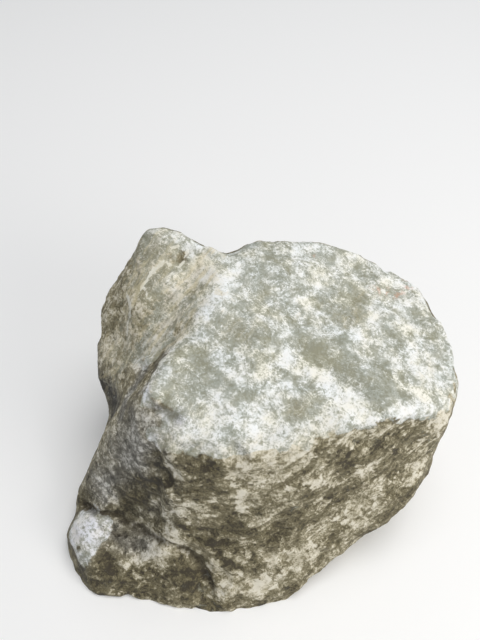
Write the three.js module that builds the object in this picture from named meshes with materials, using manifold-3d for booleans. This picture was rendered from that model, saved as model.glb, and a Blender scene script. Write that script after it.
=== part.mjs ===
// A rough block of alabaster: one natural stone, broken out of its bed, with a flat base to stand on.
//
// The stone is built as a distance: how far a point is outside the surface, or, below zero, inside
// it. Each lump of the stone is the space behind a few broken faces. The lumps are welded together,
// hollows are scooped out of them, and worn layers and bumps are laid over all. A sphere of
// triangles is then shrunk onto that surface and cut off flat at the ground.
//
// Millimetres, +Z up. The finished block stands on Z = 0 with the origin under the middle of its
// bounding box. -Y is the long sloping front, +X the end that overhangs, and -X the end with the
// toe below and the horn above.
import * as THREE from "three";
import { ImprovedNoise } from "three/addons/math/ImprovedNoise.js";
import { mergeVertices } from "three/addons/utils/BufferGeometryUtils.js";
import Module from "manifold-3d";

// ---- Driving dimensions ----
const BLOCK_LENGTH = 536; // along X; the other sizes keep their proportion to it
const EDGE_WEAR = 2.8; // radius, roughly, of the worn edges between two broken faces
const FILLET = 8; // of the valleys where two lumps meet

// Ripples of the stone: how wide they are, how far they rise, and a seed that places them.
const BUMPS = [
  { width: 130, height: 7, seed: 3.7 },
  { width: 62, height: 6, seed: 9.1 },
  { width: 30, height: 5, seed: 21.3 },
];

// The beds that the stone was laid down in dip towards the front and end in low steps.
const BED_THICKNESS = 42;
const BED_STEP = 3;
const BED_UP = direction(-100, 68);
const BED_TREAD = 0.75; // share of a bed that is tread, the rest being the riser of its step
const BED_WAVE = { width: 150, height: 1.1, seed: 5.3 }; // its height is counted in beds
const BED_FADE = { width: 90, height: 2, seed: 14.9 }; // its height is a share of the step

const BALL_RADIUS = 420; // of the sphere before it is shrunk
const BALL_CENTRE = new THREE.Vector3(0, 0, 120);
const BALL_DETAIL = 24; // it has 20 * (BALL_DETAIL + 1)^2 triangles
const SHRINK_STEPS = 110;
const PULL = 0.6; // share of its distance that a step pulls a point towards the surface
const SLIDE = 0.5; // share of the way that a step slides it to the middle of its neighbours
const SETTLE_STEPS = 4; // at the end, to set each point on the surface
const EASING = 0.4; // how far a point moves, at the end, to the middle of its neighbours

// ---- Broken faces ----
function direction(facing, rise) {
  const a = THREE.MathUtils.degToRad(facing);
  const e = THREE.MathUtils.degToRad(rise);
  return new THREE.Vector3(Math.cos(a) * Math.cos(e), Math.sin(a) * Math.cos(e), Math.sin(e));
}

// facing is the compass direction that the face looks in, in degrees anticlockwise from +X, and
// rise is how far it looks up or, below zero, down. The face passes through the point x, y, z.
function face(facing, rise, x, y, z) {
  const normal = direction(facing, rise);
  return { normal, offset: normal.dot(new THREE.Vector3(x, y, z)) };
}

// Every lump runs on below the ground, where it is cut off later.
const ROOT = face(0, -90, 0, 0, -40);

const BODY = {
  ROOT,
  top: face(-77, 75.5, 0, 0, 270),
  topRight: face(-40, 78, 118, -13, 261),
  brow: face(-95, 58, -20, -76, 256),
  frontLeft: face(-103, 20, -118, -112, 142),
  front: face(-90, 20, -30, -81, 256),
  frontRight: face(-73, 21, 82, -59, 256),
  rightCorner: face(-38, 8, 240, -14, 225),
  right: face(12, -12, 266, 10, 250),
  rightBack: face(36, 6, 258, 136, 275),
  backRight: face(64, -6, 160, 200, 250),
  back: face(88, 6, 74, 212, 300),
  backLow: face(102, -20, 30, 208, 180),
  underRight: face(-40, -34, 160, -108, 58),
  flank: face(-128, 20, -118, -111, 142),
  shoulder: face(-152, 35, -129, -28, 267),
  wall: face(154, 38, -81, 62, 294),
  shelf: face(125, 74, -5, 190, 300),
  left: face(165, 18, -214, -42, 140),
};

const HORN = {
  ROOT,
  left: face(-148, 41, -168, 26, 206),
  slope: face(-84, 53, -113, 79, 245),
  front: face(-110, 4, -180, 28, 200),
  under: face(-165, -38, -221, 57, 175),
  outer: face(175, 0, -226, 90, 190),
  backLeft: face(138, 12, -174, 182, 292),
  back: face(104, -8, -130, 208, 300),
  crest: face(50, 40, -94, 199, 320),
  crown: face(20, 66, -142, 196, 357),
  inner: face(20, -25, 10, 200, 280),
  heel: face(110, -45, -110, 200, 150),
};

const TOE = {
  ROOT,
  top: face(-108, 58, -215, -104, 72),
  backTop: face(118, 58, -226, -96, 70),
  front: face(-98, 34, -130, -184, 4),
  frontLeft: face(-135, 25, -226, -170, 4),
  left: face(-172, 12, -259, -120, 50),
  leftBack: face(150, 15, -245, -80, 60),
  right: face(-20, 20, -20, -170, 20),
  back: face(90, 0, 0, 40, 0),
};

const SILL = {
  ROOT,
  top: face(-85, 75, 40, -140, 82),
  front: face(-87, 30, -20, -190, 4),
  frontRight: face(-55, 20, 98, -150, 40),
  right: face(15, 10, 150, -100, 50),
  under: face(-40, -34, 158, -108, 58),
  left: face(-150, 25, -58, -190, 5),
  back: face(90, 0, 0, 40, 0),
};

// ---- Scooped hollows ----
// A ball or, where it has a second end, a groove with round ends.
function scoop(radius, from, to = from) {
  return { radius, from: new THREE.Vector3(...from), to: new THREE.Vector3(...to) };
}

const SCOOPS = {
  chippedCorner: scoop(38, [-116, -72, 288]),
  besideColumn: scoop(26, [-128, -89, 232], [-149, -131, 106]),
  hollowOfToe: scoop(45, [-172, -131, 100]),
  underLedge: scoop(22, [-130, -148, 92], [-86, -160, 78]),
  besideLedge: scoop(22, [-86, -160, 78], [-64, -180, 40]),
  shellOfBack: scoop(170, [150, 345, 130]),
  shellUnderHorn: scoop(110, [-90, 290, 60]),
  shellOfRightEnd: scoop(90, [290, 130, 90]),
};

// ---- Distance to the surface ----
// The smooth maximum of the distances to a lump's faces, so that its edges are worn round.
function distanceToLump(p, faces) {
  let sum = 0;
  for (const { normal, offset } of Object.values(faces))
    sum += Math.exp((normal.dot(p) - offset) / EDGE_WEAR);
  return EDGE_WEAR * Math.log(sum);
}

function distanceToScoop(p, { radius, from, to }) {
  const axis = new THREE.Vector3().subVectors(to, from);
  const along = new THREE.Vector3().subVectors(p, from).dot(axis) / Math.max(axis.lengthSq(), 1e-9);
  return p.distanceTo(axis.multiplyScalar(THREE.MathUtils.clamp(along, 0, 1)).add(from)) - radius;
}

function weld(a, b, fillet) {
  const overlap = Math.max(fillet - Math.abs(a - b), 0) / fillet;
  return Math.min(a, b) - (overlap * overlap * fillet) / 4;
}

function carve(a, b, fillet) {
  return -weld(-a, b, fillet);
}

const noise = new ImprovedNoise();

function ripple(p, { width, height, seed }) {
  return height * noise.noise(p.x / width + seed, p.y / width + seed, p.z / width + seed);
}

function bedding(p) {
  const beds = p.dot(BED_UP) / BED_THICKNESS + ripple(p, BED_WAVE);
  const share = beds - Math.floor(beds);
  const height = share < BED_TREAD ? share / BED_TREAD : (1 - share) / (1 - BED_TREAD);
  return BED_STEP * (1 + ripple(p, BED_FADE)) * (height - 0.5);
}

function stone(p) {
  let distance = weld(distanceToLump(p, BODY), distanceToLump(p, HORN), 2 * FILLET);
  distance = weld(distance, distanceToLump(p, SILL), FILLET);
  distance = weld(distance, distanceToLump(p, TOE), FILLET);
  for (const hollow of Object.values(SCOOPS))
    distance = carve(distance, distanceToScoop(p, hollow), FILLET);
  for (const bump of BUMPS)
    distance += ripple(p, bump);
  return distance + bedding(p);
}

// ---- Shrinking a ball onto the surface ----
const PROBES = [[1, -1, -1], [-1, -1, 1], [-1, 1, -1], [1, 1, 1]];
const PROBE_REACH = 0.5;

// Gives the distance from p to the surface, and sets outward to the way straight out of it.
function measure(p, outward) {
  const probe = new THREE.Vector3();
  let sum = 0;
  outward.set(0, 0, 0);
  for (const corner of PROBES) {
    const distance = stone(probe.fromArray(corner).multiplyScalar(PROBE_REACH).add(p));
    outward.addScaledVector(probe.fromArray(corner), distance);
    sum += distance;
  }
  outward.normalize();
  return sum / PROBES.length;
}

function makeBall() {
  const ball = new THREE.IcosahedronGeometry(BALL_RADIUS, BALL_DETAIL);
  ball.deleteAttribute("normal");
  ball.deleteAttribute("uv");
  const { x, y, z } = BALL_CENTRE;
  return mergeVertices(ball, 1e-2).translate(x, y, z);
}

function neighboursOf(geometry) {
  const index = geometry.index.array;
  const neighbours = Array.from({ length: geometry.attributes.position.count }, () => new Set());
  for (let i = 0; i < index.length; i += 3) {
    const [a, b, c] = index.subarray(i, i + 3);
    neighbours[a].add(b).add(c);
    neighbours[b].add(c).add(a);
    neighbours[c].add(a).add(b);
  }
  return neighbours;
}

// The way from a point to the middle of its neighbours.
function wayToMiddle(points, i, neighbours) {
  const middle = new THREE.Vector3();
  for (const j of neighbours[i]) middle.add(points[j]);
  return middle.divideScalar(neighbours[i].size).sub(points[i]);
}

// Each step pulls every point straight towards the surface and, along it, towards the middle of
// its neighbours, so that the triangles stay even. The points are then set on the surface, and
// last eased a little, which takes the teeth off the edges and valleys.
function shrinkOntoStone(skin) {
  const position = skin.attributes.position;
  const neighbours = neighboursOf(skin);
  const outward = new THREE.Vector3();
  let points = neighbours.map((_, i) => new THREE.Vector3().fromBufferAttribute(position, i));
  for (let step = 0; step < SHRINK_STEPS; step++)
    points = points.map((p, i) => {
      const distance = measure(p, outward);
      const sideways = wayToMiddle(points, i, neighbours).projectOnPlane(outward);
      return p.clone().addScaledVector(sideways, SLIDE).addScaledVector(outward, -PULL * distance);
    });
  for (const p of points)
    for (let settle = 0; settle < SETTLE_STEPS; settle++) {
      const distance = measure(p, outward);
      p.addScaledVector(outward, -distance);
    }
  points = points.map((p, i) =>
    p.clone().addScaledVector(wayToMiddle(points, i, neighbours), EASING),
  );
  points.forEach((p, i) => position.setXYZ(i, p.x, p.y, p.z));
  return skin;
}

// ---- Standing it on the ground ----
const wasm = await Module();
wasm.setup();

function solidOf(geometry) {
  return new wasm.Manifold(
    new wasm.Mesh({
      numProp: 3,
      vertProperties: new Float32Array(geometry.attributes.position.array),
      triVerts: new Uint32Array(geometry.index.array),
    }),
  );
}

function geometryOf(solid) {
  const mesh = solid.getMesh();
  const geometry = new THREE.BufferGeometry();
  geometry.setAttribute("position", new THREE.BufferAttribute(mesh.vertProperties, 3));
  geometry.setIndex(new THREE.BufferAttribute(mesh.triVerts, 1));
  return geometry;
}

function cutOffBelowGround(geometry) {
  const side = 4 * BALL_RADIUS;
  const ground = new THREE.BoxGeometry(side, side, side).translate(0, 0, -side / 2);
  ground.deleteAttribute("normal");
  ground.deleteAttribute("uv");
  return geometryOf(solidOf(geometry).subtract(solidOf(mergeVertices(ground))));
}

function centreAndSize(geometry) {
  geometry.computeBoundingBox();
  const { min, max } = geometry.boundingBox;
  geometry.translate(-(min.x + max.x) / 2, -(min.y + max.y) / 2, 0);
  const scale = BLOCK_LENGTH / (max.x - min.x);
  return geometry.scale(scale, scale, scale);
}

// ---- The block ----
const alabaster = new THREE.MeshStandardMaterial({ color: 0xa3a094, roughness: 0.8, metalness: 0 });
const skin = shrinkOntoStone(makeBall());
const block = new THREE.Mesh(centreAndSize(cutOffBelowGround(skin)), alabaster);
block.name = "alabaster_block";

const model = new THREE.Group();
model.add(block);
export default model;
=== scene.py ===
# %% [markdown]
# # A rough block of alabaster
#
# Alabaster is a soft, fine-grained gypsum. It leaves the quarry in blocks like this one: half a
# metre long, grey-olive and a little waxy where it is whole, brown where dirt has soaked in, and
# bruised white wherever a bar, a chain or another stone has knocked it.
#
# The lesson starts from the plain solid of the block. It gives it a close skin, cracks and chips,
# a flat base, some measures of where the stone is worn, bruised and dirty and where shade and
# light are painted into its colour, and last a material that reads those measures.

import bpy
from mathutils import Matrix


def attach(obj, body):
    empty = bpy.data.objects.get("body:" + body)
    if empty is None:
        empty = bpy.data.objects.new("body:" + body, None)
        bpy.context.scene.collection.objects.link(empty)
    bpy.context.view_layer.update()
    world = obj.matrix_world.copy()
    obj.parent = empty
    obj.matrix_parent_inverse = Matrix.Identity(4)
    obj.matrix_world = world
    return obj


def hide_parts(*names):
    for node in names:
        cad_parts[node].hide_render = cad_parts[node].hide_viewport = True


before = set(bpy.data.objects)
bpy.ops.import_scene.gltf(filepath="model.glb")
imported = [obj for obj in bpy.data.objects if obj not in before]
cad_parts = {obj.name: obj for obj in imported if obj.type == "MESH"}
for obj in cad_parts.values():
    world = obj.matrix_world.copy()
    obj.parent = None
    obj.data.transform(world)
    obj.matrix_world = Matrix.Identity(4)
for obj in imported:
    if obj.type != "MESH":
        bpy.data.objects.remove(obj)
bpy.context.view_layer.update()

# %% [markdown]
# ## A close skin
#
# The solid is made of flat triangles about 12 mm across, far too coarse for chips and grit. They
# could be split again and again, but then each one keeps its own flat look. Here a copy is merged
# into one surface, rounded once by subdivision, and wrapped in an even skin of small squares by
# a voxel remesh. The copy is first pulled down past the ground, so that the skin runs on below
# the base and can be sawn off flat at the end.

# %% Wrap a copy of the solid in a close skin
import bpy
import numpy as np
from mathutils import Euler, Vector, noise

MM = 0.001
SKIN_PITCH = 2.9 * MM
FOOTING = 14 * MM
TOUCHING = 0.01 * MM  # points closer than this are one point
ON_THE_GROUND = 0.1 * MM


def select_only(piece):
    bpy.ops.object.select_all(action="DESELECT")
    piece.select_set(True)
    bpy.context.view_layer.objects.active = piece


def finish_with(piece, kind, **settings):
    """Gives a piece a modifier and applies it."""
    select_only(piece)
    modifier = piece.modifiers.new(kind.lower(), kind)
    for name, value in settings.items():
        setattr(modifier, name, value)
    bpy.ops.object.modifier_apply(modifier=modifier.name)


block = bpy.data.objects.new("alabaster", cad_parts["alabaster_block"].data.copy())
bpy.context.scene.collection.objects.link(block)
block.data.materials.clear()
select_only(block)
bpy.ops.mesh.customdata_custom_splitnormals_clear()
bpy.ops.object.mode_set(mode="EDIT")
bpy.ops.mesh.select_all(action="SELECT")
bpy.ops.mesh.remove_doubles(threshold=TOUCHING)
bpy.ops.mesh.select_all(action="DESELECT")
bpy.ops.object.mode_set(mode="OBJECT")
for vertex in block.data.vertices:
    vertex.select = vertex.co.z < ON_THE_GROUND
bpy.ops.object.mode_set(mode="EDIT")
bpy.ops.transform.translate(value=(0, 0, -FOOTING))
bpy.ops.object.mode_set(mode="OBJECT")

finish_with(block, "SUBSURF", levels=1, render_levels=1)
finish_with(block, "REMESH", mode="VOXEL", voxel_size=SKIN_PITCH, use_smooth_shade=True)
finish_with(block, "SMOOTH", factor=0.5, iterations=2)
print("skin points:", len(block.data.vertices))

# %% [markdown]
# ## Finding a place on the stone
#
# Every crack, stain and bruise has its own place, so the shaping is done with a few small
# helpers: one reads all points of the skin, one says how near they are to a line of places, and
# one moves them straight in or out. Places are in millimetres, in the frame of the solid. A line
# of places with a soft reach does the work of a brush stroke in sculpt mode, and unlike a stroke
# by hand it can be repeated and corrected.

# %% Helpers for places on the stone


def read_points(kind="co", piece=block):
    """The places of the skin points in millimetres, or their normals."""
    source = piece.data.vertices if kind == "co" else piece.data.vertex_normals
    values = np.empty(3 * len(piece.data.vertices), np.float32)
    source.foreach_get("co" if kind == "co" else "vector", values)
    return values.reshape(-1, 3) / (MM if kind == "co" else 1)


def write_points(points):
    block.data.vertices.foreach_set("co", (points * MM).astype(np.float32).ravel())
    block.data.update()


def soft(share):
    """A step from 0 to 1 with round ends."""
    share = np.clip(share, 0, 1)
    return share * share * (3 - 2 * share)


def near_line(places, reach, waver=0.0):
    """1 on a line through the places, falling softly to 0 at its reach, for each skin point.

    One place alone is a dot. The waver moves the points before they are measured.
    """
    points = read_points() + waver
    nearest = np.full(len(points), np.inf)
    for start, end in zip(places, places[1:] or places):
        start, way = np.array(start, float), np.subtract(end, start).astype(float)
        along = np.clip((points - start) @ way / max(way @ way, 1e-9), 0, 1)
        away = np.linalg.norm(points - start - along[:, None] * way, axis=1)
        nearest = np.minimum(nearest, away)
    return soft(1 - nearest / reach)


def laid(places, pace=6):
    """A line through the places laid on the skin: the nearest skin point at every pace."""
    points, line = read_points(), []
    for start, end in zip(places, places[1:]):
        start, way = np.array(start, float), np.subtract(end, start).astype(float)
        for along in np.arange(0, 1, pace / np.linalg.norm(way)):
            line.append(points[np.linalg.norm(points - start - along * way, axis=1).argmin()])
    return line


def shifted(line, step):
    """The same line moved over by a step, to draw beside it."""
    return [np.add(place, step) for place in line]


def pattern(width, seed=0.0, layers=4, places=None):
    """A cloudy pattern about as wide as it says, from -1 to 1, for each skin point."""
    shift = Vector((seed, 2 * seed, 3 * seed))
    places = read_points() if places is None else places
    return np.array([noise.fractal(Vector(p) + shift, 0.7, 2.1, layers) for p in places / width])


def push_out(distance):
    """Moves each skin point straight out by its own distance in millimetres."""
    write_points(read_points() + read_points("normal") * distance[:, None])


def keep(name, values):
    """Keeps one value for each skin point on the mesh, under a name that a material can read."""
    measure = block.data.attributes.new(name, "FLOAT", "POINT")
    measure.data.foreach_set("value", values.astype(np.float32))
    print(name, "from", round(float(values.min()), 2), "to", round(float(values.max()), 2))


print("longest way across, mm:", round(np.ptp(read_points(), axis=0).max()))

# %% [markdown]
# ## Where the skin stands out
#
# Stone is chipped and rubbed where it stands out, so the chips here and the worn edges later
# need a measure of that. Blender's Pointiness is one, but only a material can read it, and it
# sees no farther than the next triangle. Here a twin of the skin is smoothed until its corners
# are gone, and how far each point stands out from the twin is the measure. How level the smoothed
# skin lies tells the plate on top from the sides.

# %% Measure the skin against a smoothed twin


def smoothed(rounds):
    """The places and normals of the skin after that many rounds of smoothing a twin of it."""
    twin = block.copy()
    twin.data = block.data.copy()
    bpy.context.scene.collection.objects.link(twin)
    finish_with(twin, "SMOOTH", factor=0.5, iterations=rounds)
    places, normals = read_points("co", twin), read_points("normal", twin)
    bpy.data.objects.remove(twin)
    return places, normals


def stand_out(rounds):
    """How far each point stands out, in millimetres, from the smoothed skin."""
    places, normals = smoothed(rounds)
    return np.sum((read_points() - places) * normals, axis=1)


def levelness():
    """1 where the skin lies level, as on the plate, and 0 on the sides."""
    upward = smoothed(40)[1][:, 2]
    return soft((upward - 0.72) / 0.2)


VALLEY = [(-178, -16, 188), (-161, 15, 209), (-128, 53, 240), (-82, 86, 272), (-38, 137, 299)]
standing = stand_out(60)
level = levelness()
# a chip can come off the sides, but seldom out of a hollow, and none out of the valley
open_side = (1.001 - level) * soft((standing + 2) / 2) * (1 - near_line(VALLEY, reach=70))
print("level share of the skin:", round(float(level.mean()), 2))

# %% [markdown]
# ## Flats and shells
#
# A broken face of fine-grained stone is not bumpy like clay. Its high places are flats, where the
# last layer came away along a plane, and where a blow lifted a chip off there is a shallow round
# shell with a crisp edge. Both are cut by code: a flat moves the points beyond a plane back onto
# it, and a shell moves the points inside a large ball out to its surface. Displacement with a
# cell texture looks alike at first, but all its cells are the same size and depth, and the stone
# looks hammered. The plate is the top of one bed and came away smooth, so it is left alone.

# %% Cut the flats and strike the shells
FLATS = 300
SHELLS = 300
rng = np.random.default_rng(4)


def tilted(normal, amount):
    """A direction near the normal, leaning by chance."""
    leaning = normal + rng.normal(0, amount, 3)
    return leaning / np.linalg.norm(leaning)


def flat(points, place, normal, reach):
    """Moves the points that lie beyond a plane back onto it."""
    beyond = np.clip((points - place) @ normal, 0, None)
    nearness = 1 - np.linalg.norm(points - place, axis=1) / reach
    points -= (beyond * soft(3 * nearness))[:, None] * normal


def shell(points, place, normal, radius, depth):
    """Scoops a shallow dish of a ball's radius out of the skin."""
    centre = place + normal * (radius - depth)
    length = np.linalg.norm(points - centre, axis=1)
    close = np.linalg.norm(points - place, axis=1) < 3 * np.sqrt(2 * radius * depth)
    cut = close & (length < radius)
    points[cut] = centre + (points[cut] - centre) * (radius / length[cut])[:, None]


points = read_points()
broad_normals = smoothed(60)[1]
where_proud = open_side * np.clip(standing, 0, 2)
for index in rng.choice(len(points), FLATS, p=where_proud / where_proud.sum()):
    normal = tilted(broad_normals[index], 0.1)
    depth = min(0.8 * standing[index], rng.uniform(0.8, 2.4))
    flat(points, points[index] - depth * normal, normal, reach=rng.uniform(20, 45))
for index in rng.choice(len(points), SHELLS, p=open_side / open_side.sum()):
    normal = tilted(broad_normals[index], 0.06)
    shell(points, points[index].copy(), normal, rng.uniform(15, 60), rng.uniform(0.6, 2.0))
CORNER = np.array((-107, -57, 257))  # the front left corner of the plate, knocked off in one flat
flat(points, CORNER, Vector((-0.45, -0.62, 0.64)).normalized(), reach=36)
moved = np.linalg.norm(points - read_points(), axis=1)
write_points(points)
print("deepest cut, mm:", round(float(moved.max()), 1))

# %% [markdown]
# ## Cracks, folds and the crease of the plate
#
# The plate is not one plane: a low arris runs across it from the middle to the front rim, where
# one bed ends and the next begins. At the foot of the front a ledge has broken away along a
# fold, and a crack parts the flank from the toe. The solid carries the large forms of these, and
# here their sharp lines are laid on the skin, each through a few places. A knife cut would draw
# them as well, but only as straight edges from one place to the next.

# %% Lay the sharp lines on the skin
CREASE = laid(
    [(58, 24, 278), (78, 12, 274), (96, 0, 271), (114, -14, 267), (148, -42, 258), (158, -54, 253)]
)
CRACK = laid(
    [(-238, -77, 52), (-206, -101, 77), (-173, -111, 71), (-143, -123, 68), (-117, -140, 78)]
)
LEDGE = laid([(-117, -132, 92), (-94, -143, 86), (-72, -148, 76), (-57, -163, 57), (-47, -180, 32)])
COLUMN = laid([(-96, -97, 229), (-99, -108, 195), (-103, -116, 160), (-110, -125, 110)])
BESIDE_COLUMN = laid([(-112, -90, 222), (-114, -103, 185), (-120, -115, 145), (-130, -122, 100)])
RIGHT_CREASE = laid([(250, 81, 261), (258, 50, 254), (262, 20, 246)])
CHIP_EDGE = laid([(-121, -41, 269), (-109, -44, 270), (-97, -48, 267), (-80, -58, 264)])
VALLEY_LINE = laid(VALLEY[1:])
TOE_CLEFT = laid([(-200, -138, 62), (-189, -153, 49), (-178, -168, 36)])
LOW_VALLEY = laid([(-178, -16, 188), (-161, 15, 209), (-140, 43, 231)])
print("points in the crease:", len(CREASE))

# %% [markdown]
# ## Grooves and folds
#
# A groove sinks the skin along its line and a fold raises it. Both are stronger and weaker along
# their length by the same wandering pattern, because a crack that is even looks drawn with a
# ruler. A Displace modifier with a painted group could do this too, but each line would need a
# modifier of its own. On the deep ones a painted shade is noted on the way for the material: a
# dark line along the floor, where shadow falls. The floor of the valley comes first: it is filled
# a little, as it is worn round.

# %% Sink the grooves and raise the folds
wander = 1 + 0.6 * pattern(26, 3)
crack_shade = np.zeros(len(wander))


def fold(line, height, reach):
    """Raises a soft fold along a line."""
    push_out(height * near_line(line, reach) * wander)


def groove(line, depth, reach, painted_shade=0.0):
    """Sinks a groove along a line, and notes how much painted shade lies along its floor."""
    nearness = near_line(line, reach)
    push_out(-depth * nearness * wander)
    np.maximum(crack_shade, painted_shade * nearness, out=crack_shade)


push_out(7.0 * near_line(VALLEY_LINE, reach=30))
groove(CREASE, depth=1.4, reach=6)
fold(shifted(CREASE, (-7, -9, 1)), height=1.4, reach=12)
# painted shade: a dark line along the floors of the deep grooves, where their shadow falls
groove(LOW_VALLEY, depth=2.2, reach=9, painted_shade=0.4)
groove(CRACK, depth=5.0, reach=9, painted_shade=1.0)
groove(shifted(LEDGE, (-3, -2, -8)), depth=5.0, reach=11, painted_shade=0.8)
fold(COLUMN, height=1.2, reach=12)
groove(BESIDE_COLUMN, depth=2.5, reach=15)
groove(RIGHT_CREASE, depth=2.0, reach=6)
groove(shifted(CHIP_EDGE, (0, -5, -3)), depth=1.4, reach=9, painted_shade=0.5)
groove(TOE_CLEFT, depth=3.0, reach=15, painted_shade=0.4)
# the painted shade of the grooves is kept for the material
keep("crack_shade", crack_shade)

# %% [markdown]
# ## The chipped corner between front and flank
#
# The front and the flank meet in an upright column. Nothing keeps such a corner whole: small
# chips are gone all along it. They are struck with the same shells as before, smaller ones, and
# only close to the line. A bevel would take the sharpness off too, but would leave it straight.

# %% Chip the column
COLUMN_CHIPS = 26
points = read_points()
arris = near_line(COLUMN, reach=9)
for index in rng.choice(len(points), COLUMN_CHIPS, p=arris / arris.sum()):
    normal = tilted(broad_normals[index], 0.2)
    shell(points, points[index].copy(), normal, rng.uniform(10, 26), rng.uniform(0.8, 2.4))
write_points(points)
print("chips along the column:", COLUMN_CHIPS)

# %% [markdown]
# ## Beds and grit
#
# Gypsum is laid down in beds, and a face broken across them is streaked and finely stepped. The
# beds dip towards the front and rise to the right, more steeply the further right. How high each
# point lies across the beds is kept as a measure, for the steps here and for the streaks of the
# material later. A stack of slabs would show the beds as well, but as clean as plywood. Layered
# noise then roughens everything, with Blender's own cloud texture in a Displace modifier.

# %% Step the beds and roughen the skin
STEP = 14  # mm across the beds, from one step to the next
TREAD, RISER = 0.8, 0.2  # the shares of a step that slope gently and steeply


def height_in_beds():
    """How high each point lies across the beds, in millimetres."""
    x, y, z = read_points().T
    return 0.93 * z - 0.37 * y - 0.07 * x - 0.0009 * np.maximum(x + 60, 0) ** 2


def relief(name, width, height, where, depth):
    """Displaces part of the skin with Blender's cloud texture, finer with each added depth."""
    group = block.vertex_groups.new(name=name)
    for index, weight in enumerate(where):
        if weight > 0.01:
            group.add([index], weight, "REPLACE")
    texture = bpy.data.textures.new(name, "CLOUDS")
    texture.noise_scale = width * MM
    texture.noise_depth = depth
    finish_with(
        block,
        "DISPLACE",
        texture=texture,
        texture_coords="LOCAL",
        vertex_group=name,
        strength=height * MM,
        mid_level=0.5,
    )
    block.vertex_groups.clear()


def across_beds():
    """1 on a face broken across the beds, as the front is, and 0 along them."""
    return (1 - levelness()) * soft(np.abs(read_points("normal")[:, 1]) * 1.6 - 0.5)


steps = height_in_beds() / STEP + 1.2 * pattern(70, 7, 3)
share = steps - np.floor(steps)
tread = np.where(share < TREAD, share / TREAD, (1 - share) / RISER) - 0.5
here_and_there = soft(0.5 + 1.2 * pattern(60, 11, 3))
drawn_out = read_points()
drawn_out[:, 2] = 5 * height_in_beds()
grain_of_beds = pattern(46, 9, 4, drawn_out)
push_out(across_beds() * (1.4 * tread * here_and_there + 1.3 * grain_of_beds))
relief("hackle", width=13, height=3.0, where=1 - 0.75 * level, depth=4)
relief("grit", width=5, height=0.8, where=np.ones(len(steps)), depth=1)
print("steps across the beds:", round(np.ptp(steps)))

# %% [markdown]
# ## A base to stand on
#
# The block stands on a face as flat as a floor. Its low points could be pushed up to the ground
# instead, but then it bulges there like dough. So it is sawn: the skin runs on below the ground,
# and a bisect leaves a ragged natural outline and one flat face.

# %% Saw the base flat
select_only(block)
bpy.ops.object.mode_set(mode="EDIT")
bpy.ops.mesh.select_all(action="SELECT")
bpy.ops.mesh.bisect(
    plane_co=(0, 0, 0), plane_no=(0, 0, 1), use_fill=True, clear_inner=True, threshold=0.001 * MM
)
bpy.ops.object.mode_set(mode="OBJECT")
bpy.ops.object.shade_smooth_by_angle(angle=1.2)  # radians: only the edge of the base stays sharp
block.data.calc_loop_triangles()
lowest = float(read_points()[:, 2].min())
print("triangles:", len(block.data.loop_triangles), "lowest point, mm:", round(lowest, 3))

# %% [markdown]
# ## Measures for the material
#
# The material has to know where the stone stands proud, because edges are rubbed pale, and where
# it is hollow, because dirt stays there. The smoothed twin gives that again, now on the finished
# skin. Everything else that the material has to know is painted in strokes. A stroke has
# a reach, a strength and one or more places. Each point is shifted a little first, so that the
# edge of a stroke wanders as a stain does. Painting in a window would be quicker, but a list of
# strokes can be read and corrected.

# %% Keep the measured values
keep("proud", stand_out(12))
keep("bed_height", height_in_beds())
waver = 11 * np.column_stack([pattern(30, seed, 4) for seed in (1, 2, 3)])


def painted(strokes, shift=waver):
    """The strongest of the strokes at each point; a stroke is a reach, a strength, and places."""
    layers = [strength * near_line(line, reach, shift) for reach, strength, *line in strokes]
    return np.max(layers, axis=0)


# %% [markdown]
# ## Bruises on the plate
#
# The plate is pale wherever it was hit or dragged over: thick along its rims, in a band across
# the middle and beside the arris. Between the bruises the stone is whole, and there it shows its
# own grey-olive. Both are painted, the bruises to push the tone up and the whole skin to push it
# down, because noise alone would spread them evenly.

# %% Paint the bruises and the whole skin of the plate
WEST_MIDDLE = [(-34, 59, 293), (-12, 36, 288)]  # two whole areas that have yellowed too
EAST_MIDDLE = [(120, 76, 278), (150, 115, 277)]
BRUISES = [
    # along the rims: front, left, right
    (30, 1.2, (-114, -76, 250), (-57, -88, 254), (11, -84, 256), (60, -78, 255)),
    (26, 1.1, (60, -74, 257), (80, -64, 258), (134, -54, 256)),
    (24, 1.1, (134, -54, 256), (194, -44, 248), (242, -26, 243)),
    (28, 1.0, (200, -20, 250), (242, -5, 243)),
    (15, 1.3, (-125, -39, 266), (-110, -5, 278), (-79, 47, 288), (-40, 97, 302), (-12, 150, 308)),
    (22, 0.9, (258, 0, 240), (266, 30, 248), (262, 70, 258), (245, 120, 266), (216, 150, 268)),
    # across the left of the plate, and beside the arris
    (28, 1.0, (-75, 45, 287), (-53, 17, 283), (-33, 7, 282)),
    (24, 1.2, (-14, -7, 279), (24, -8, 276)),
    (18, 1.2, (42, 12, 277), (77, -12, 270), (101, -28, 264), (132, -52, 256)),
    (24, 0.9, (-86, -70, 262), (-40, -60, 262), (10, -60, 262)),
    # the pale band across the middle
    (17, 1.0, (38, 118, 296), (62, 104, 289), (92, 82, 281)),
    (16, 1.0, (50, 121, 296), (68, 125, 294)),
    (18, 0.9, (62, 24, 277)),
    # right half
    (18, 0.9, (122, 51, 278), (166, 46, 269)),
    (18, 1.0, (155, 94, 275), (182, 107, 273), (211, 108, 267)),
    (22, 1.1, (212, 66, 264), (217, 43, 258), (222, 20, 254)),
    (16, 0.8, (173, 128, 278)),
    # along the back rim
    (15, 1.0, (-8, 165, 307), (19, 187, 303), (72, 190, 301), (100, 191, 298)),
    (15, 0.9, (135, 181, 290), (174, 167, 280), (204, 152, 271), (227, 125, 269)),
]
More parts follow.
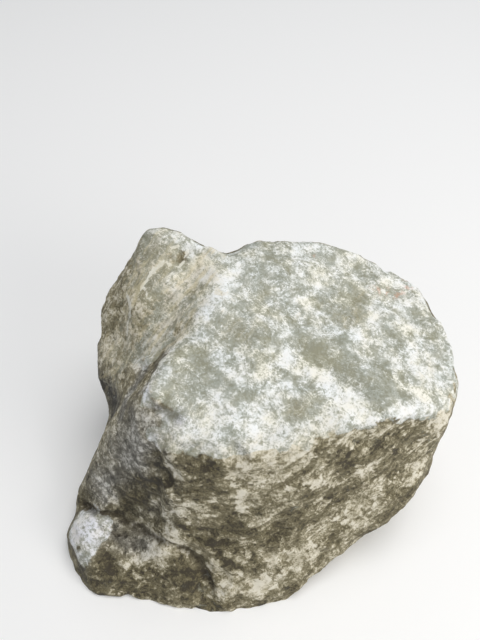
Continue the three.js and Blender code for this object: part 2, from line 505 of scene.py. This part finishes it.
WHOLE = [
    (30, 1.0, (17, 119, 295)),
    (24, 1.0, *WEST_MIDDLE),
    (22, 1.0, (-62, 2, 279), (-70, -34, 273)),
    (24, 1.1, (-43, -14, 276)),
    (18, 0.8, (25, 17, 282)),
    (30, 1.2, *EAST_MIDDLE),
    (24, 0.9, (108, 175, 293)),
    (24, 1.0, (70, 44, 279), (104, 18, 272), (130, 0, 268), (162, -24, 260)),
    (20, 1.2, (56, -47, 264)),
    (16, 0.8, (196, 68, 268)),
    (18, 0.8, (-6, -39, 271)),
]
print("strokes on the plate:", len(BRUISES) + len(WHOLE))

# %% [markdown]
# ## Patches on the front
#
# Dirt has soaked into the sides and has since worn off in patches. A cream patch is where it has
# gone, a dark patch where it is thickest, and some of the dark ones are even in tone, because a
# film of it fills every pore. A few of the dark strokes are painted shade: just under the front
# left corner of the plate, in the hollow and the cleft of the toe, and under the horn. Each gets
# its own strokes.

# %% Paint the patches of the front
UPPER_LEFT = [(-70, -99, 232), (-52, -105, 222), (-36, -111, 205), (-56, -117, 182)]
ACROSS_THE_FRONT = [(-43, -132, 134), (-14, -139, 120), (20, -142, 116), (40, -138, 118)]
FRONT_FOOT = [(30, -160, 74), (56, -156, 73), (88, -152, 72), (62, -166, 54)]
CREAM_PATCHES = [
    (28, 1.7, (-15, -100, 246), (28, -96, 243), (60, -90, 240)),
    (30, 1.6, (-16, -107, 226), (16, -106, 216), (46, -99, 222)),
    (10, 1.3, (-18, -104, 244), (-16, -110, 205), (-12, -122, 172), (-8, -128, 150)),
    (18, 1.1, (-69, -123, 162), (-52, -126, 152), (-40, -130, 142)),
    (24, 1.0, (-96, -96, 230), (-86, -108, 212)),
    (18, 0.8, (-92, -112, 190), (-102, -116, 158), (-106, -126, 112)),
    (20, 0.7, (-108, -132, 98), (-88, -145, 86)),
    (14, 1.6, (-22, -157, 81), (-4, -156, 84)),
    (24, 0.8, (-44, -164, 66), (-18, -173, 54), (8, -181, 37), (-18, -192, 30)),
    (28, 0.8, *FRONT_FOOT),
    (22, 0.5, (78, -104, 190), (110, -96, 175)),
    (20, 1.0, (98, -76, 246), (135, -70, 238), (165, -62, 236)),
    (22, 0.3, (129, -87, 186), (150, -90, 168), (167, -88, 153), (158, -98, 135)),
    (18, 0.5, (82, -115, 145), (101, -109, 146), (118, -117, 116)),
    (24, 0.5, (48, -113, 187), (85, -106, 185), (118, -93, 176), (149, -84, 184)),
    (14, 0.9, (-90, -106, 213), (-89, -115, 186), (-87, -121, 152), (-82, -129, 133)),
    (26, 1.3, (-49, -186, 22), (-22, -189, 37), (4, -186, 32), (28, -175, 39)),
    (30, 0.8, (224, -35, 245), (235, -43, 219), (225, -55, 189), (218, -64, 159), (206, -79, 143)),
    (12, 1.2, (-172, -171, 32), (-151, -157, 47), (-120, -141, 74)),
]
DARK_STAINS_AND_SHADE = [
    (30, 0.9, *UPPER_LEFT),
    (22, 0.7, (-80, -118, 172)),
    (28, 1.1, *ACROSS_THE_FRONT),
    (26, 0.9, (-80, -135, 118), (-20, -148, 100)),
    (28, 0.9, (-99, -160, 50), (-79, -175, 35)),
    (24, 0.7, (175, -62, 210), (110, -88, 210)),
    (18, 0.9, (60, -104, 208)),
    # painted shade just under the front left corner of the plate
    (22, 1.3, (-110, -83, 236), (-97, -88, 238)),
    (30, 0.6, (-146, -168, 34), (-119, -174, 34), (-170, -178, 15)),
    (22, 0.3, (-60, -195, 10), (18, -190, 22), (60, -182, 28)),
    (18, 0.8, (10, -165, 62)),
    # painted shade in the hollow on the toe
    (26, 0.6, (-178, -124, 62), (-144, -135, 61)),
    # painted shade in the cleft of the toe
    (16, 1.2, (-192, -150, 50), (-178, -168, 36)),
    (24, 1.1, (-235, -160, 14), (-205, -179, 14)),
    # painted shade under the brow of the horn
    (34, 1.6, (-207, 50, 182), (-193, 34, 184), (-180, 14, 182)),
]
print("strokes on the front:", len(CREAM_PATCHES) + len(DARK_STAINS_AND_SHADE))

# %% [markdown]
# ## The flank and the toe
#
# The flank on the left is painted greyer and cooler than the front, and so are the side under the
# horn, the hollow on the toe, the low end of the wall between valley and plate and the chip at the
# corner: a painted shade, the look of stone lit only by the cool room. Beside the column the flank
# also gets a dark band, a painted shadow. The outer end of the toe has had a blow and is nearly
# white, with a little of the same painted cool shade. These are broad areas, so a few wide
# strokes do.

# %% Paint the flank and the toe
# painted shade: the flank is greyed and cooled
FLANK = [(85, 1.0, (-130, -68, 225), (-150, -85, 180), (-150, -100, 140), (-190, -85, 110))]
# painted shadow: a dark band on the flank beside the column
FLANK_SHADOW = [
    (28, 1.0, (-108, -92, 222), (-116, -103, 185), (-124, -115, 145), (-134, -120, 100)),
    (42, 1.1, (-140, -100, 150), (-165, -105, 100)),
]
TOE_WHITE = [
    (44, 1.4, (-236, -122, 60), (-222, -110, 72), (-221, -132, 65)),
    (30, 1.5, (-203, -118, 71)),
    (34, 0.8, (-229, -145, 45)),
]
# painted shade in the hollow on the toe, which is also even in tone
TOE_HOLLOW = [(34, 1.0, (-180, -125, 62), (-140, -136, 62))]
# painted shade under the horn
UNDER_HORN = [(42, 1.0, (-215, 60, 175), (-195, 30, 178), (-178, 8, 180))]
# painted shade on the low end of the wall
LOW_WALL = [
    (24, 1.0, (-136, 25, 238), (-142, 8, 232), (-152, -10, 226), (-160, -28, 218)),
    (18, 1.0, (-97, 28, 266), (-108, 2, 265), (-120, -22, 264)),
]
# painted shade on the chip at the corner, which is also cleaner
CHIP = [(20, 1.0, (-116, -46, 267), (-104, -53, 262), (-90, -60, 260))]
print("strokes on the toe:", len(TOE_WHITE) + len(TOE_HOLLOW))

# %% [markdown]
# ## The horn and the valley
#
# The horn is a warmer cream-grey with an olive middle, a pale tip and a few thin white veins. The
# valley beside it is cream, streaked along its length by what runs down it, and so is the wall
# that rises from it to the plate. Both are also painted paler than their cream, a painted light
# against the shade that falls into the valley and on the steep wall. The veins are laid on the
# skin first, as the cracks were, because a line that passes under the skin would fade out.

# %% Paint the horn and the valley
HORN_MIDDLE = [(-136, 157, 317), (-145, 130, 297), (-131, 107, 282), (-138, 77, 256)]
HORN_FACE = [(75, 1.0, (-185, 50, 215), (-160, 90, 270), (-140, 150, 320))]
HORN_BACK = [(90, 1.0, (-215, 100, 200), (-205, 150, 240), (-175, 190, 300))]
HORN_TIP = [(16, 1.0, (-118, 192, 333), (-100, 186, 330), (-86, 176, 325), (-66, 166, 318))]
HORN_FOOT = [(28, 1.0, (-204, 89, 208), (-188, 71, 216), (-165, 52, 222))]
HORN_OLIVE = [
    (38, 1.2, *HORN_MIDDLE),
    (16, 1.4, (-112, 179, 331), (-95, 168, 322)),
]
LONG_VEIN = [
    (-108, 154, 313), (-125, 141, 304), (-134, 134, 300), (-144, 122, 293), (-147, 114, 287)
]
HORN_VEINS = [
    (5, 1.0, *laid(LONG_VEIN)),
    (5, 1.0, *laid([(-81, 165, 318), (-87, 155, 309), (-97, 145, 304), (-112, 150, 311)])),
    (5, 1.0, *laid([(-165, 126, 281), (-158, 106, 273), (-158, 93, 257), (-164, 81, 240)])),
    (4.5, 1.0, *laid([(-144, 122, 293), (-134, 108, 283), (-120, 112, 284)])),
    (4.5, 1.0, *laid([(-118, 170, 324), (-104, 166, 318), (-92, 172, 324)])),
]
# cream streaks; the valley is also painted paler, as painted light against the shade in its V
VALLEY_STREAKS = [
    (18, 1.0, (-48, 164, 315), (-79, 139, 297), (-107, 108, 281), (-131, 85, 264)),
    (18, 1.2, (-65, 144, 301), (-84, 115, 283), (-105, 89, 263), (-123, 61, 245), (-140, 43, 231)),
]
# cream wall, also painted paler, as painted light against the shade on the steep wall
WALL = [
    (22, 1.0, (-45, 133, 297), (-65, 111, 285), (-83, 94, 273), (-101, 73, 257), (-118, 46, 249)),
    (20, 1.0, (-60, 92, 288), (-78, 66, 279), (-92, 42, 270)),
]
print("veins on the horn:", len(HORN_VEINS))

# %% [markdown]
# ## Tints and even places
#
# Last come the thin washes of colour, yellow at the worn spots of the plate and rust at its back
# rim, and the places where the dirt is an even film rather than a mottle.

# %% Paint the tints and the even places
YELLOWED = [
    (24, 0.35, (-110, -82, 245), (-60, -88, 248), (0, -92, 250), (60, -80, 252), (110, -66, 253)),
    (22, 0.7, (56, -47, 264)),
    (26, 0.4, *WEST_MIDDLE),
    (22, 0.5, *EAST_MIDDLE),
    (18, 0.5, (227, 20, 250)),
]
RUST = [
    (18, 1.0, (178, 130, 277), (212, 136, 268)),
    (12, 0.8, (93, 175, 294)),
]
SMOOTH = [
    (34, 1.0, *UPPER_LEFT),
    (30, 1.0, *ACROSS_THE_FRONT),
    (28, 1.0, *FRONT_FOOT),
    (36, 0.8, *HORN_MIDDLE),
]
print("tinted spots:", len(YELLOWED) + len(RUST))

# %% [markdown]
# ## Which stroke counts where
#
# The strokes are rough, and one on the flank also catches the plate just above it. So some of
# them only count where the skin faces left, or where it lies level and high. Where several
# overlap the strongest wins. Added up, they would leave a blot at each crossing.

# %% Find out which stroke counts where
facing = smoothed(20)[1]
to_left = soft((-0.75 * facing[:, 0] - 0.6 * facing[:, 1] - 0.35) / 0.4)
high_up = soft((read_points()[:, 2] - 225) / 25)
plate = levelness() * high_up * (1 - painted(HORN_BACK))
horn, tip, valley = painted(HORN_FACE), painted(HORN_TIP), painted(VALLEY_STREAKS)
wall, low_wall, hollow, chip = painted(WALL), painted(LOW_WALL), painted(TOE_HOLLOW), painted(CHIP)
# painted shade: the places greyed and cooled as if in shade
shaded = [to_left * painted(FLANK), to_left * painted(UNDER_HORN), 0.8 * hollow, low_wall, chip]
shaded = np.max(shaded, axis=0)
# dark stains, with the painted shade and shadow strokes
dark = np.maximum(painted(DARK_STAINS_AND_SHADE), to_left * painted(FLANK_SHADOW))
# the valley and the wall are painted paler as painted light, beside their cream
cream = [painted(CREAM_PATCHES), 1.2 * valley, painted(HORN_FOOT), tip, 0.6 * horn, 1.1 * wall]
cream = np.max(cream, axis=0)
toe_white = painted(TOE_WHITE) * (1.2 + 0.6 * pattern(24, 13))
bruised = np.maximum(painted(BRUISES), toe_white)
print("share of the skin on the plate:", round(float(plate.mean()), 2))

# %% [markdown]
# ## Keep the painted measures
#
# What the material reads is kept as named values on the mesh. Bruised pushes the clean stone
# towards white or, below 0, towards grey-olive; beside the crease it does both, because one bank
# is battered and the other is fresh. It is raised at the tip for wear, and in the valley and on the
# wall for wear and as painted light. Weathered is how much dirt there is, and creamy whether that
# dirt is pale or dark; its pale end also holds the painted light of the valley and the wall, its
# dark end the painted shade under the horn, beside the column, under the plate's corner and on
# the toe. Warm tints the stone, a cool grey is painted shade on the flank, under the horn and on
# the toe, and smooth evens the dirt out. An image could hold the same, but it would need a flat
# layout of the whole skin.

# %% Keep the painted measures
battered_bank = near_line(shifted(CREASE, (-8, -10, 0)), reach=20)
fresh_bank = near_line(shifted(CREASE, (8, 10, 0)), reach=18)
across_crease = 1.5 * battered_bank - 1.2 * fresh_bank
whole = painted(WHOLE) * plate
olive = 0.3 * (1 - plate) + 0.7 * painted(HORN_OLIVE)
# the tip is pale from wear; the valley and the wall also as painted light
rubbed_and_painted_light = 0.9 * valley + 0.7 * wall + 1.4 * tip
keep("bruised", bruised + across_crease - whole - olive + rubbed_and_painted_light)
# the valley and the wall lose their dirt partly as painted light
worn_and_painted_light = np.max([0.9 * valley, 0.5 * horn, 0.9 * tip, 0.6 * chip, 0.8 * wall], axis=0)
keep("weathered", np.clip(1 - plate - 1.1 * bruised * soft(bruised) - worn_and_painted_light, 0, 1))
# painted light at its pale end and painted shade at its dark end, beside cream and dark dirt
keep("creamy", cream - dark)
keep("warm", np.max([valley, horn, wall, painted(YELLOWED)], axis=0))
# painted shade: a cool grey on the flank, under the horn, on the low wall, the hollow, the chip and
# the toe
keep("cool_shade", np.maximum(shaded * (1 - painted(FLANK_SHADOW)), 0.6 * toe_white))
keep("smooth", np.max([painted(SMOOTH), hollow, low_wall, wall, 0.6 * horn], axis=0))
keep("streaked", across_beds())
keep("rusty", painted(RUST))
keep("vein", painted(HORN_VEINS, 0.4 * waver))

# %% [markdown]
# ## The stone's material
#
# Whole alabaster is grey-olive, cloudy and slightly waxy. A bruise is the same stone crushed to
# a white powder of crystals, so it is paler, rougher and grainy at its edge. Dirt soaks into the
# sides along the beds. So the stone has two scales of tone, a clean one from olive to white and a
# dirty one from dark brown to cream. Cloudy noise of several sizes, pushed one way or the other
# by the painted measures, picks the tone on each scale and mixes the two. Everything reads the
# stone's own coordinates, so the pattern stays put and has its real size. So many nodes are hard
# to follow when they are wired one by one, so a few helpers let them be written as sums.

# %% Small helpers to build a material
stone = bpy.data.materials.new("alabaster")
stone.use_nodes = True
tree = stone.node_tree
tree.nodes.clear()


def node(kind, inputs=(), **settings):
    """Adds a node with its settings, and feeds its inputs."""
    made = tree.nodes.new("ShaderNode" + kind)
    for name, value in settings.items():
        setattr(made, name, value)
    for socket, value in dict(inputs).items():
        feed(made.inputs[socket], value)
    return made


def feed(socket, value):
    """Links a node's output to a socket, or sets the socket to a plain value."""
    if isinstance(value, bpy.types.NodeSocket):
        tree.links.new(value, socket)
    else:
        socket.default_value = value


def math_of(operation, *values):
    """One step of arithmetic on values or sockets."""
    return node("Math", dict(enumerate(values)), operation=operation).outputs[0]


def plus(*values):
    """The sum of them all."""
    total = values[0]
    for value in values[1:]:
        total = math_of("ADD", total, value)
    return total


def times(a, b):
    return math_of("MULTIPLY", a, b)


def sum_of(start, *parts):
    """The start and its parts added up, each part a value and how much it counts."""
    return plus(start, *[times(value, gain) for value, gain in parts])


def between(value, low, high):
    """0 below low, 1 above high, and a soft step between."""
    inputs = {"Value": value, "From Min": low, "From Max": high}
    return node("MapRange", inputs, interpolation_type="SMOOTHSTEP").outputs["Result"]


print("the tree has", len(tree.nodes), "nodes to start with")

# %% [markdown]
# ## Helpers for colour and noise
#
# A colour is easiest to judge as a painter's swatch, but the shader wants it linear, so it is
# worked out. A scale of tones is a colour ramp. Noise is asked for by its width in millimetres,
# because its own setting, the scale, counts how often it repeats in a metre.

# %% Helpers for colour and noise


def mixed(way, amount, under, over):
    """Mixes two colours. A Mix node set to colours has them on its sockets 6 and 7."""
    made = node("Mix", data_type="RGBA", blend_type=way)
    for place, value in zip((0, 6, 7), (amount, under, over)):
        feed(made.inputs[place], value)
    return made.outputs[2]


def lay(over, under, amount):
    """Lays one colour over another where the amount is 1."""
    return mixed("MIX", amount, under, over)


def stained(base, tint, amount=1.0):
    """The base colour as if washed with a thin tint."""
    return mixed("MULTIPLY", amount, base, tint)


def colour(red, green, blue):
    """A colour as a painter's swatch would give it, 0 to 255, made linear for the shader."""
    return (*[((c / 255 + 0.055) / 1.055) ** 2.4 for c in (red, green, blue)], 1)


def scale_of(level, tones):
    """Picks a colour from a scale of tones, each a level and a colour."""
    made = node("ValToRGB", {"Fac": level})
    steps = made.color_ramp.elements
    while len(steps) < len(tones):
        steps.new(0.5)
    for step, (position, tone) in zip(steps, tones):
        step.position, step.color = position, tone
    return made.outputs["Color"]


def measured(name):
    """A measure that was kept on the mesh."""
    return node("Attribute", attribute_name=name).outputs["Fac"]


where = node("TexCoord").outputs["Object"]


def clouds(width, layers=5, roughness=0.6, wander=0.0, space=where):
    """Cloudy noise, 0 to 1, whose clouds are about as wide as it says, in millimetres."""
    inputs = {"Vector": space, "Scale": 1 / (width * MM), "Detail": layers, "Roughness": roughness}
    return node("TexNoise", {**inputs, "Distortion": wander}).outputs["Fac"]


def swing(value, gain):
    """Noise turned about 0, as wide as the gain."""
    return times(plus(value, -0.5), gain)


print("measures to read:", ", ".join(measure.name for measure in block.data.attributes))

# %% [markdown]
# ## Spaces that follow the stone
#
# Streaks run along the beds, down the valley and along the arris of the plate. Noise has no
# direction of its own, so it is given a space that is drawn out along each of these. For the
# beds the height across them, kept on the mesh, takes the place of z, so the streaks bend as the
# beds do; a Mapping node would do for straight beds, as it does for the valley and the arris.

# %% Draw out the space along the beds, the valley and the arris
FLATTEN = 6  # how much longer the streaks are than they are thick

split = node("SeparateXYZ", {0: where})
bed = times(measured("bed_height"), FLATTEN * MM)
in_beds = node("CombineXYZ", {0: split.outputs[0], 1: split.outputs[1], 2: bed}).outputs[0]


def stretched(direction, factor):
    """The stone's own space, drawn out along one direction."""
    turn = Vector(direction).to_track_quat("X", "Z").to_euler()
    inputs = {"Vector": where, "Rotation": turn, "Scale": (factor, 1, 1)}
    return node("Mapping", inputs, vector_type="TEXTURE").outputs[0]


along_valley = stretched((0.596, 0.681, 0.425), 9)
along_arris = stretched((0.75, -0.62, -0.22), 12)
print("nodes so far:", len(tree.nodes))

# %% [markdown]
# ## The shapes that the tones take
#
# Broken alabaster shows ragged clouds, flecks, crumbs of single crystals, thin curls where a
# crystal edge catches the light, and scratches. The clouds are noise. A curl is a contour of
# noise, as on a map: the thin line where it passes one value. A crumb is a cell of a Voronoi
# texture, made ragged by noise first, because plain cells look like a wall of pebbles.

# %% Make the clouds, crumbs, curls and scratches


def contour(value, width):
    """1 where the noise passes its middle value, fading to 0 at that width."""
    return between(math_of("ABSOLUTE", plus(value, -0.5)), width, 0.0)


def crumbs(width):
    """One random tone for each ragged crumb of the stone, 0 to 1."""
    wobble = node("TexNoise", {"Vector": where, "Scale": 1 / (width * MM), "Detail": 4})
    amount = (1.4 * width * MM,) * 3
    inputs = {0: wobble.outputs["Color"], 1: amount, 2: where}
    ragged = node("VectorMath", inputs, operation="MULTIPLY_ADD").outputs[0]
    cells = node("TexVoronoi", {"Vector": ragged, "Scale": 1 / (width * MM)})
    return node("SeparateColor", {0: cells.outputs["Color"]}).outputs[0]


rag = clouds(36, 9, 0.62, 0.6)  # ragged patches
fleck = clouds(10, 5, 0.6, 0.6)
grain = clouds(2.8, 3, 0.6)
slabs, grits, specks = crumbs(20), crumbs(5), crumbs(3.4)
patchy = between(clouds(30, 4), 0.42, 0.58)  # keeps fine marks to half of the stone
curls = plus(contour(clouds(14, 2, 0.5, 1.6), 0.036), contour(clouds(8, 2, 0.5, 2.0), 0.036))
wisps = times(curls, between(clouds(22, 3), 0.37, 0.52))
scratches = times(contour(clouds(7, 3, 0.6, 0.3, along_arris), 0.02), patchy)
bright_specks = times(between(specks, 0.88, 0.92), patchy)
dark_lines = times(contour(clouds(17, 3, 0.6, 1.2), 0.016), between(clouds(26, 3), 0.5, 0.62))
print("nodes so far:", len(tree.nodes))

# %% [markdown]
# ## The clean scale
#
# On the plate the stone is clean. Its level starts in the middle of the scale, is torn up and
# down by the ragged clouds, and is pushed to white by a bruise and where the stone stands proud.
# Whole stone is calmer, and powder is grainier. The scale is a colour ramp that jumps once, at
# the edge of a bruise, because powder lies on the stone and does not shade into it.

# %% Mix the clean tones: whole olive stone to white bruises
proud = measured("proud")
bruise = measured("bruised")
calm = plus(1.0, times(between(bruise, 0.0, -0.8), -0.55))
powdery = plus(1.0, times(between(bruise, 0.2, 1.2), 0.5))
torn = plus(swing(rag, 2.4), swing(slabs, 0.16), swing(fleck, 1.7))
fine = plus(swing(grain, 1.05), swing(grits, 0.32))
clean_level = sum_of(
    0.42,
    (torn, calm),
    (fine, powdery),
    (bruise, 0.26),
    (wisps, 0.4),
    (scratches, 0.3),
    (bright_specks, 0.2),
    (dark_lines, -0.2),
    (proud, 0.07),
)
CLEAN = [
    (0.0, colour(146, 146, 129)),
    (0.15, colour(159, 160, 145)),
    (0.35, colour(170, 172, 160)),
    (0.54, colour(182, 183, 172)),
    (0.62, colour(218, 219, 212)),  # the bright rim of a bruise
    (0.72, colour(208, 209, 201)),
    (0.85, colour(230, 231, 225)),
    (1.0, colour(248, 248, 246)),
]
print("tones of clean stone:", len(CLEAN))

# %% [markdown]
# ## Tints of the clean stone
#
# The white isn't one white: parts of it lean to blue and parts to cream. A tint is multiplied in,
# as a thin wash darkens a wall, so the pattern under it stays. Warm places get a stronger wash
# where they were painted, and the places painted in shade get a cool wash, a painted shade.

# %% Tint the clean stone
HUES = [
    (0.36, colour(249, 252, 255)),
    (0.5, colour(253, 253, 252)),
    (0.64, colour(255, 252, 242)),
]
WARM_GREY = colour(205, 190, 155)
# cool grey-blue of the painted shade
SHADE_BLUE = colour(249, 248, 255)
warm, cool_shade = measured("warm"), measured("cool_shade")
clean = stained(scale_of(clean_level, CLEAN), scale_of(clouds(32, 4), HUES))
clean = stained(clean, WARM_GREY, times(warm, 0.5))
# painted shade: a cool wash where the stone is painted as in shade
clean = stained(clean, SHADE_BLUE, cool_shade)
print("nodes so far:", len(tree.nodes))

# %% [markdown]
# ## The dirty scale
#
# The sides have the same grain, but dirt has soaked into it, in blots and in streaks along the
# beds. Where it has worn off there are cream patches with sharp edges. The soaking is smooth noise
# and the patches are the same noise cut off at a level, which gives the sharp edge. A dark film
# evens the tone out, so the soaking counts for half there.

# %% Mix the dirty tones: brown soaked in along the beds, cream where it has worn off
streaks = times(swing(clouds(60, 4, 0.5, 0.2, in_beds), 1.2), measured("streaked"))
blots = clouds(42, 9, 0.64, 0.6)
big = clouds(90, 4, 0.55)
soaked = plus(streaks, swing(big, 0.9), swing(blots, 1.1), swing(fleck, 1.2))
evened = plus(1.0, times(measured("smooth"), -0.5))
creamy = measured("creamy")
edge = plus(creamy, swing(fleck, 1.7), swing(rag, 0.9), swing(grits, 0.2))
cream_patch = between(edge, 0.36, 0.48)
dark_patch = between(edge, -0.3, -0.5)
flakes = times(between(crumbs(7), 0.86, 0.9), between(clouds(45, 3), 0.42, 0.58))
dirty_level = sum_of(
    0.4,
    (soaked, evened),
    (fine, 0.85),
    (cream_patch, 0.19),
    (creamy, 0.17),
    (dark_patch, -0.12),
    (flakes, 0.2),
    (wisps, 0.16),
    (bright_specks, 0.26),
    (dark_lines, -0.2),
    (proud, 0.12),
)
DIRTY = [
    (0.0, colour(62, 55, 40)),
    (0.12, colour(80, 73, 52)),
    (0.3, colour(105, 97, 71)),
    (0.55, colour(136, 128, 101)),
    (0.7, colour(178, 170, 145)),
    (0.88, colour(209, 201, 179)),
    (1.0, colour(228, 222, 205)),
]
dirty = scale_of(dirty_level, DIRTY)
# painted shade: the brown of the dirt is greyed where the stone is painted as in shade
less_brown = plus(1.0, times(cool_shade, -0.65))
cooled = node("HueSaturation", {"Saturation": less_brown, "Color": dirty}).outputs["Color"]
print("tones of dirty stone:", len(DIRTY))

# %% [markdown]
# ## Where the dirt begins
#
# Dirt doesn't stop at a line. It thins out over a few centimetres in islands and bays. A plain
# fade from one scale to the other looks like mist, so the painted measure is first torn by the
# same clouds as the tones, and then turned into a narrow step.

# %% Mix the two scales
torn_dirt = plus(measured("weathered"), swing(big, 1.2), swing(fleck, 1.6), swing(rag, 0.6))
dirtiness = between(torn_dirt, 0.3, 0.7)
skin = lay(cooled, clean, dirtiness)
print("nodes so far:", len(tree.nodes))

# %% [markdown]
# ## Veins and furrows
#
# Thin white veins of purer gypsum cross the horn, and pale and brown furrows run down the
# valley. Both lie over the stone's own tone as glazes, so that the mottle still shows through.

# %% Lay on the veins of the horn and the furrows of the valley
CHALK = colour(238, 236, 224)
YELLOW_CREAM = colour(216, 204, 168)
SHADE_BROWN = colour(120, 108, 82)
vein = between(plus(measured("vein"), swing(fleck, 1.4)), 0.5, 0.75)
skin = lay(CHALK, skin, times(vein, 0.75))
furrows = clouds(9, 5, 0.6, 0.2, along_valley)
skin = lay(YELLOW_CREAM, skin, times(between(furrows, 0.5, 0.6), times(warm, 0.45)))
skin = lay(SHADE_BROWN, skin, times(between(furrows, 0.46, 0.36), times(warm, 0.3)))
print("nodes so far:", len(tree.nodes))

# %% [markdown]
# ## Dirt, painted shade and rust
#
# Last comes what is laid on top: loose dirt in the hollows, a painted shade in the same dark colour
# along the floors of the cracks, and a touch of rust from a steel strap. The measures say where,
# and a cloud of noise breaks each one up, so that it doesn't trace its groove like a pen.

# %% Lay on the dirt, the painted shade of the cracks and the rust
# dark brown, for the dirt in the hollows and for the painted shade in the cracks
DIRT_AND_SHADE = colour(58, 50, 38)
RUST_PINK = colour(208, 160, 132)
hollowed = times(between(proud, -0.4, -1.4), between(clouds(12, 4), 0.38, 0.6))
# painted shade: the floors of the cracks, broken up by noise
cracked = times(measured("crack_shade"), between(clouds(14, 4), 0.3, 0.5))
rusty = times(measured("rusty"), between(clouds(9, 4), 0.48, 0.6))
skin = lay(DIRT_AND_SHADE, skin, times(hollowed, times(dirtiness, 0.6)))
# painted shade laid along the cracks
skin = lay(DIRT_AND_SHADE, skin, times(cracked, 0.75))
skin = lay(RUST_PINK, skin, times(rusty, 0.7))
print("nodes so far:", len(tree.nodes))

# %% [markdown]
# ## The finish
#
# Whole alabaster takes a dull gloss, and powder and dirt take none, so the roughness follows the
# tone. Grain finer than the squares of the skin can't be in the mesh; it is a bump of about a
# millimetre. Alabaster also lets some light in, but behind a skin this dirty it hardly shows, so
# a plain surface shader is enough.

# %% Put the finish together
powder = clouds(2.2, 4, 0.65)
pits = clouds(7, 4)
height = plus(times(powder, 0.7), times(pits, 0.9), times(grits, 0.5), times(slabs, 0.3))
bump = node("Bump", {"Height": height, "Strength": 0.7, "Distance": 1.1 * MM}).outputs["Normal"]
rough = sum_of(0.6, (between(clean_level, 0.5, 0.9), 0.2), (dirtiness, 0.12))
shader = node("BsdfPrincipled", {"Base Color": skin, "Roughness": rough, "Normal": bump})
node("OutputMaterial", {"Surface": shader.outputs["BSDF"]})

block.data.materials.append(stone)
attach(block, "root")
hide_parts("alabaster_block")
print("material nodes:", len(tree.nodes))

# %% [markdown]
# ## The floor
#
# The block stands on a plain pale floor, so wide that its edge is out of sight. A curved
# backdrop would do as well, but from above only the floor is seen.

# %% Lay the floor
FLOOR_WIDTH = 40  # metres
bpy.ops.object.select_all(action="DESELECT")
bpy.ops.mesh.primitive_plane_add(size=FLOOR_WIDTH)
floor = bpy.context.object
floor.name = "floor"
paint = bpy.data.materials.new("floor_paint")
paint.use_nodes = True
floor_finish = paint.node_tree.nodes["Principled BSDF"].inputs
floor_finish["Base Color"].default_value = (0.95, 0.95, 0.95, 1)
floor_finish["Roughness"].default_value = 0.9
floor.data.materials.append(paint)
print("floor, m:", FLOOR_WIDTH)

# %% [markdown]
# ## The light
#
# The light is soft and comes from a large panel high above, a little to the right and the back.
# A small warmer panel low on the right wakes up the front, and the dim room fills the rest with a
# cool light. So the plate is bright, the front is half lit, and the flank and the toe on the left
# fall into a cool shade. A sun lamp would draw hard shadows that say more of the lamp than of the
# stone.

# %% Hang the lamps and dim the room
AIM = Vector((0, 0, 0.15))  # the middle of the block


def softbox(name, place, size, power, tint):
    """A square lamp that faces the block, in metres and watts."""
    lamp = bpy.data.lights.new(name, "AREA")
    lamp.size = size
    lamp.energy = power
    lamp.color = tint
    stand = bpy.data.objects.new(name, lamp)
    stand.location = place
    stand.rotation_euler = (AIM - Vector(place)).to_track_quat("-Z", "Y").to_euler()
    bpy.context.scene.collection.objects.link(stand)


softbox("sky_panel", (1.5, 0.73, 6.9), size=5.3, power=342, tint=(1.0, 0.99, 0.97))
softbox("right_panel", (1.7, -1.2, 1.1), size=1.2, power=19, tint=(1.0, 0.97, 0.92))
world = bpy.data.worlds.new("room")
world.use_nodes = True
room_light = world.node_tree.nodes["Background"].inputs
room_light["Color"].default_value = (0.9, 0.94, 1.0, 1)
room_light["Strength"].default_value = 0.28
bpy.context.scene.world = world
bpy.context.scene.view_settings.view_transform = "Standard"
print("lamps:", len(bpy.data.lights))

# %% [markdown]
# ## The camera
#
# The camera looks down on the block from the front, as someone does who stands over it. It is
# close, with a lens a little wider than the eye, so the plate seems to lean towards the viewer.

# %% Set up the camera
TILT = 40  # degrees up from looking straight down
lens = bpy.data.cameras.new("camera")
lens.lens = 30
camera = bpy.data.objects.new("camera", lens)
camera.location = (-0.0117, -0.3666, 0.8055)
camera.rotation_euler = Euler((np.radians(TILT), 0, 0))
bpy.context.scene.collection.objects.link(camera)
bpy.context.scene.camera = camera
print("camera above the ground, mm:", round(camera.location.z / MM))
